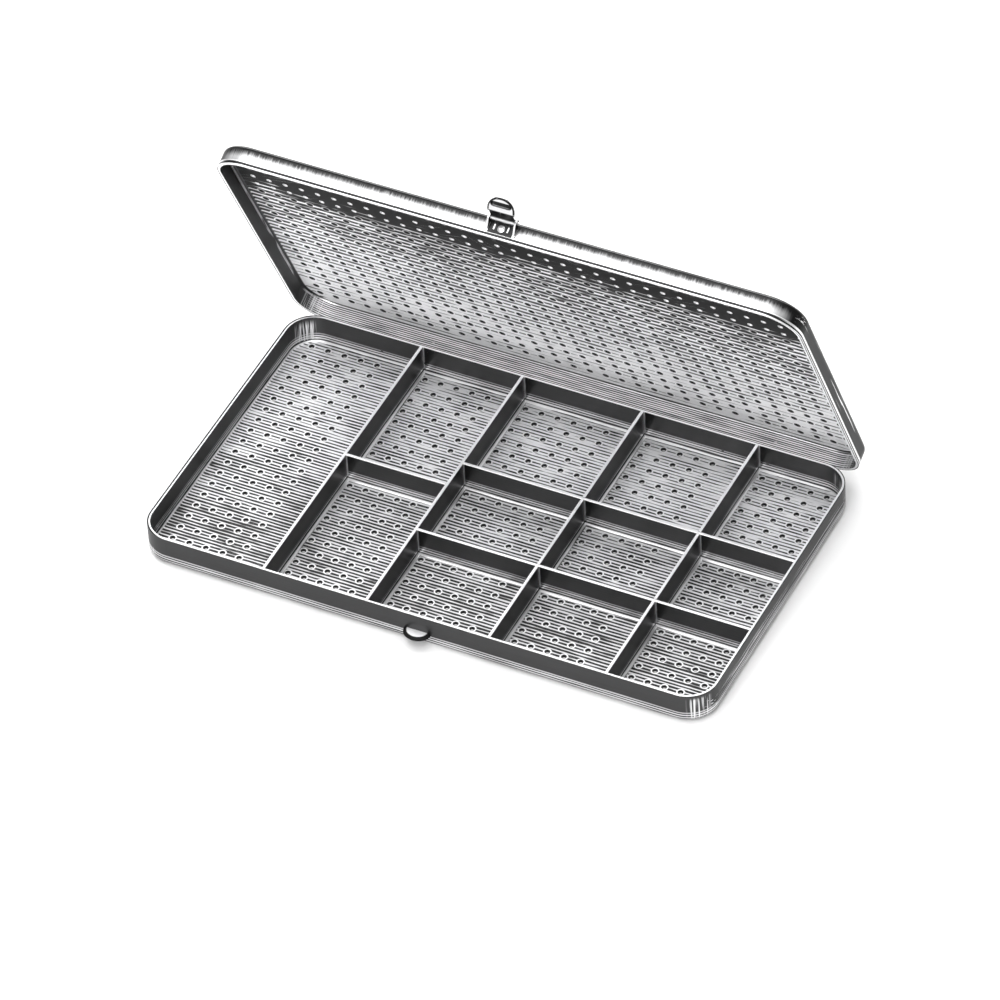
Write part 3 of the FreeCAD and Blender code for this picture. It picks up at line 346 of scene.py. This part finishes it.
def fitting_steel(name, where, base=0.80, rough=0.20, across=(0.08, 3.0, 3.0), kind=None):
    """Small polished fittings: fine polishing lines, faint handling marks; the catch, bracket, spring and lever carry
    painted shade and painted highlights face by face.
    """
    s = Steel(name, where)
    fine = s.noise(across, 2.0, 0.6)
    cloud = s.noise((0.35, 0.35, 0.35), 3.0, 0.6, 0.4)
    scr = s.scratches(0.5, 0.3, 4.0)
    b = base
    if kind == "catch":        # painted shade on the rounded nose and edge, painted highlight on the top
        cx = s.f("MULTIPLY", s.x, 1.0 / 4.7)
        cy = s.f("MULTIPLY", s.plus(s.y, TRAY_Y), 1.0 / 3.9)
        oval = s.step(s.f("SQRT", s.plus(s.mul(cx, cx), s.mul(cy, cy))), 0.80, 0.72)
        b = s.lerp(s.mul(s.step(s.nz, 0.86, 0.96), oval), 0.02, PAINTED_LIGHT)
    elif kind == "bracket":    # painted shade on the plate, painted highlights on the two ears' edges
        ear = s.mul(s.step(s.f("ABSOLUTE", s.x), 4.2, 4.35), s.step(s.f("ABSOLUTE", s.nx), 0.7, 0.4))
        b = s.lerp(ear, 0.03, 0.70)
    elif kind == "spring":     # painted shade on the leaf, two painted highlight ribs on its fingers
        rib = s.mul(s.step(s.f("ABSOLUTE", s.f("SUBTRACT", s.f("ABSOLUTE", s.x), 2.4)), 0.27, 0.22), s.step(s.y, -60.59, -60.64))
        b = s.lerp(rib, 0.03, 0.70)
    elif kind == "lever":      # coordinates from the pin: arm toward -z, tab bent outward; painted shade on the arm, in the hollow and round the tab's border
        t = s.plus(s.mul(s.y, -0.5), s.mul(s.plus(s.z, 4.4), -0.866))
        arm = s.mul(s.step(s.z, -0.70, -0.95), s.step(t, 0.35, 0.05))
        side = s.f("MAXIMUM", s.f("SUBTRACT", s.f("ABSOLUTE", s.x), 2.7), 0.0)
        du = s.f("SUBTRACT", t, 2.75)
        cup = s.step(s.f("SQRT", s.plus(s.mul(side, side), s.mul(du, du))), 1.06, 0.96)
        hollow = s.mul(cup, s.step(s.ny, -0.2, 0.0), s.step(s.plus(t, s.mul(s.f("SUBTRACT", fine, 0.5), 1.2)), 1.6, 2.2))
        down = s.f("MULTIPLY", s.f("MAXIMUM", s.f("SUBTRACT", t, 1.1), 0.0), 1.0 / 4.1)
        wide = s.f("MULTIPLY", s.x, 1.0 / 4.7)
        border = s.mul(s.step(s.f("SQRT", s.plus(s.mul(down, down), s.mul(wide, wide))), 0.86, 0.91), s.step(t, 0.2, 0.4))
        b = s.lerp(s.top(arm, hollow, border), 0.62, 0.02)
    b = s.mul(b, s.lerp(fine, 0.90, 1.08), s.lerp(cloud, 0.90, 1.08))
    b = s.f("MINIMUM", s.lerp(s.mul(scr, 0.3), b, 0.85), 0.98)
    r = s.plus(rough, s.mul(s.f("SUBTRACT", cloud, 0.5), 0.16), s.mul(scr, 0.10))
    height = s.plus(s.mul(fine, 0.6), s.mul(cloud, 0.6), s.mul(scr, -0.4))
    return s.finish(b, r, height, 0.22, 0.00004, TINT)


MATS = {
    "base_tray": sheet_steel("tray_sheet", False),
    "lid_tray": sheet_steel("lid_sheet", True),
    "divider": divider_steel("divider_strip"),
    "hinge_base": fitting_steel("hinge_leaf_steel", "base", 0.62, 0.30),
    "hinge_lid": fitting_steel("hinge_leaf_steel_lid", "lid", 0.62, 0.30),
    "pin_base": fitting_steel("hinge_pin_steel", "base", 0.74, 0.18, (0.3, 4.0, 4.0)),
    "pin_lid": fitting_steel("clasp_pin_steel", "lid", 0.74, 0.18, (0.3, 4.0, 4.0)),
    "rivet_base": fitting_steel("rivet_steel_base", "base", 0.10, 0.34, (2.0, 2.0, 2.0)),
    "rivet_hinge": fitting_steel("rivet_steel_hinge", "lid", 0.42, 0.34, (2.0, 2.0, 2.0)),
    "rivet_lid": fitting_steel("rivet_steel_lid", "lid", 0.70, 0.34, (2.0, 2.0, 2.0)),
    "catch": fitting_steel("catch_steel", "base", 0.85, 0.68, kind="catch"),
    "bracket": fitting_steel("bracket_steel", "lid", 0.42, 0.34, kind="bracket"),
    "spring": fitting_steel("spring_leaf_steel", "lid", 0.72, 0.32, (3.0, 0.2, 0.2), kind="spring"),
    "lever": fitting_steel("lever_polished_steel", "lever", 0.86, 0.34, kind="lever"),
}


def material_of(node):
    if node in ("base_tray", "lid_tray"):
        return MATS[node]
    if node.startswith("divider"):
        return MATS["divider"]
    if node.startswith("hinge_leaf_base"):
        return MATS["hinge_base"]
    if node.startswith("hinge_leaf_lid"):
        return MATS["hinge_lid"]
    return {"hinge_pin_left": MATS["pin_base"], "hinge_pin_right": MATS["pin_base"], "hinge_rivets_base": MATS["rivet_base"],
            "hinge_rivets_lid": MATS["rivet_hinge"], "clasp_rivet": MATS["rivet_lid"], "clasp_pin": MATS["pin_lid"],
            "catch_lip": MATS["catch"], "clasp_bracket": MATS["bracket"], "clasp_spring": MATS["spring"],
            "clasp_lever": MATS["lever"]}[node]


for name, obj in nodes.items():
    mat = material_of(name)
    if not obj.material_slots:
        obj.data.materials.append(mat)
    for slot in obj.material_slots:
        slot.material = mat

# ------------------------------------------------------------------ stage, light, camera
bpy.ops.mesh.primitive_plane_add(size=12.0, location=(0, 0, 0))
ground = bpy.context.object
ground.name = "studio_floor"
gm = bpy.data.materials.new("studio_floor_paper")
gm.use_nodes = True
gb = gm.node_tree.nodes["Principled BSDF"]
gb.inputs["Base Color"].default_value = (0.86, 0.86, 0.86, 1)
gb.inputs["Roughness"].default_value = 0.9
gb.inputs["Specular IOR Level"].default_value = 0.1
ground.data.materials.append(gm)

world = bpy.data.worlds.new("studio")
scene.world = world
world.use_nodes = True
wt = world.node_tree
wt.nodes.clear()
wo = wt.nodes.new("ShaderNodeOutputWorld")
bg = wt.nodes.new("ShaderNodeBackground")
ge = wt.nodes.new("ShaderNodeTexCoord")
sx = wt.nodes.new("ShaderNodeSeparateXYZ")
ramp = wt.nodes.new("ShaderNodeValToRGB")
wt.links.new(ge.outputs["Generated"], sx.inputs[0])
mr = wt.nodes.new("ShaderNodeMapRange")
mr.inputs["From Min"].default_value, mr.inputs["From Max"].default_value = -1.0, 1.0
wt.links.new(sx.outputs[2], mr.inputs["Value"])
wt.links.new(mr.outputs["Result"], ramp.inputs["Fac"])
els = ramp.color_ramp.elements
els[0].position, els[0].color = 0.45, (0.50, 0.50, 0.50, 1)
els[1].position, els[1].color = 1.0, (1.0, 1.0, 1.0, 1)
e = els.new(0.62)
e.color = (0.62, 0.62, 0.62, 1)
wt.links.new(ramp.outputs["Color"], bg.inputs["Color"])
bg.inputs["Strength"].default_value = 0.75
wt.links.new(bg.outputs[0], wo.inputs[0])


def softbox(name, direction, distance, size, power, aim=(0, 0, 0.03)):
    d = Vector(direction).normalized()
    light = bpy.data.lights.new(name, "AREA")
    light.shape = "RECTANGLE"
    light.size, light.size_y = size
    light.energy = power
    o = bpy.data.objects.new(name, light)
    scene.collection.objects.link(o)
    o.location = Vector(aim) + d * distance
    o.rotation_mode = "QUATERNION"
    o.rotation_quaternion = (-d).to_track_quat("-Z", "Y")
    o.visible_camera = False
    return o


softbox("soft_top", (-0.20, 0.15, 1.0), 1.3, (1.2, 1.0), 13.0)
softbox("soft_front_high", (0.15, -0.62, 0.95), 1.4, (0.9, 0.6), 8.0)
softbox("soft_front_low", (0.10, -1.0, 0.22), 1.5, (1.0, 0.35), 12.0)
softbox("soft_behind", (0.0, 0.75, 0.85), 1.3, (0.9, 0.5), 3.0)
softbox("soft_left_back", (-0.9, 0.55, 0.55), 1.4, (0.8, 0.6), 3.0)

az, el, roll = math.radians(28.04), math.radians(43.0), math.radians(-3.37)
focal_px, dist = 8232.98, 2.66596
back = Vector((math.sin(az) * math.cos(el), -math.cos(az) * math.cos(el), math.sin(el)))
right = Vector((math.cos(az), math.sin(az), 0.0))
up = back.cross(right)
right2 = math.cos(roll) * right + math.sin(roll) * up
up2 = -math.sin(roll) * right + math.cos(roll) * up
target = right2 * ((500 - 497.51) / focal_px * dist) + up2 * ((526.83 - 500) / focal_px * dist)
cam_data = bpy.data.cameras.new("camera")
cam_data.sensor_width = 36.0
cam_data.lens = focal_px * 36.0 / 1000.0
cam_data.clip_start, cam_data.clip_end = 0.05, 100.0
cam = bpy.data.objects.new("camera", cam_data)
scene.collection.objects.link(cam)
rot = Matrix((right2, up2, back)).transposed()
cam.matrix_world = Matrix.Translation(target + back * dist) @ rot.to_4x4()
scene.camera = cam

scene.view_settings.view_transform = "Standard"
scene.view_settings.look = "None"
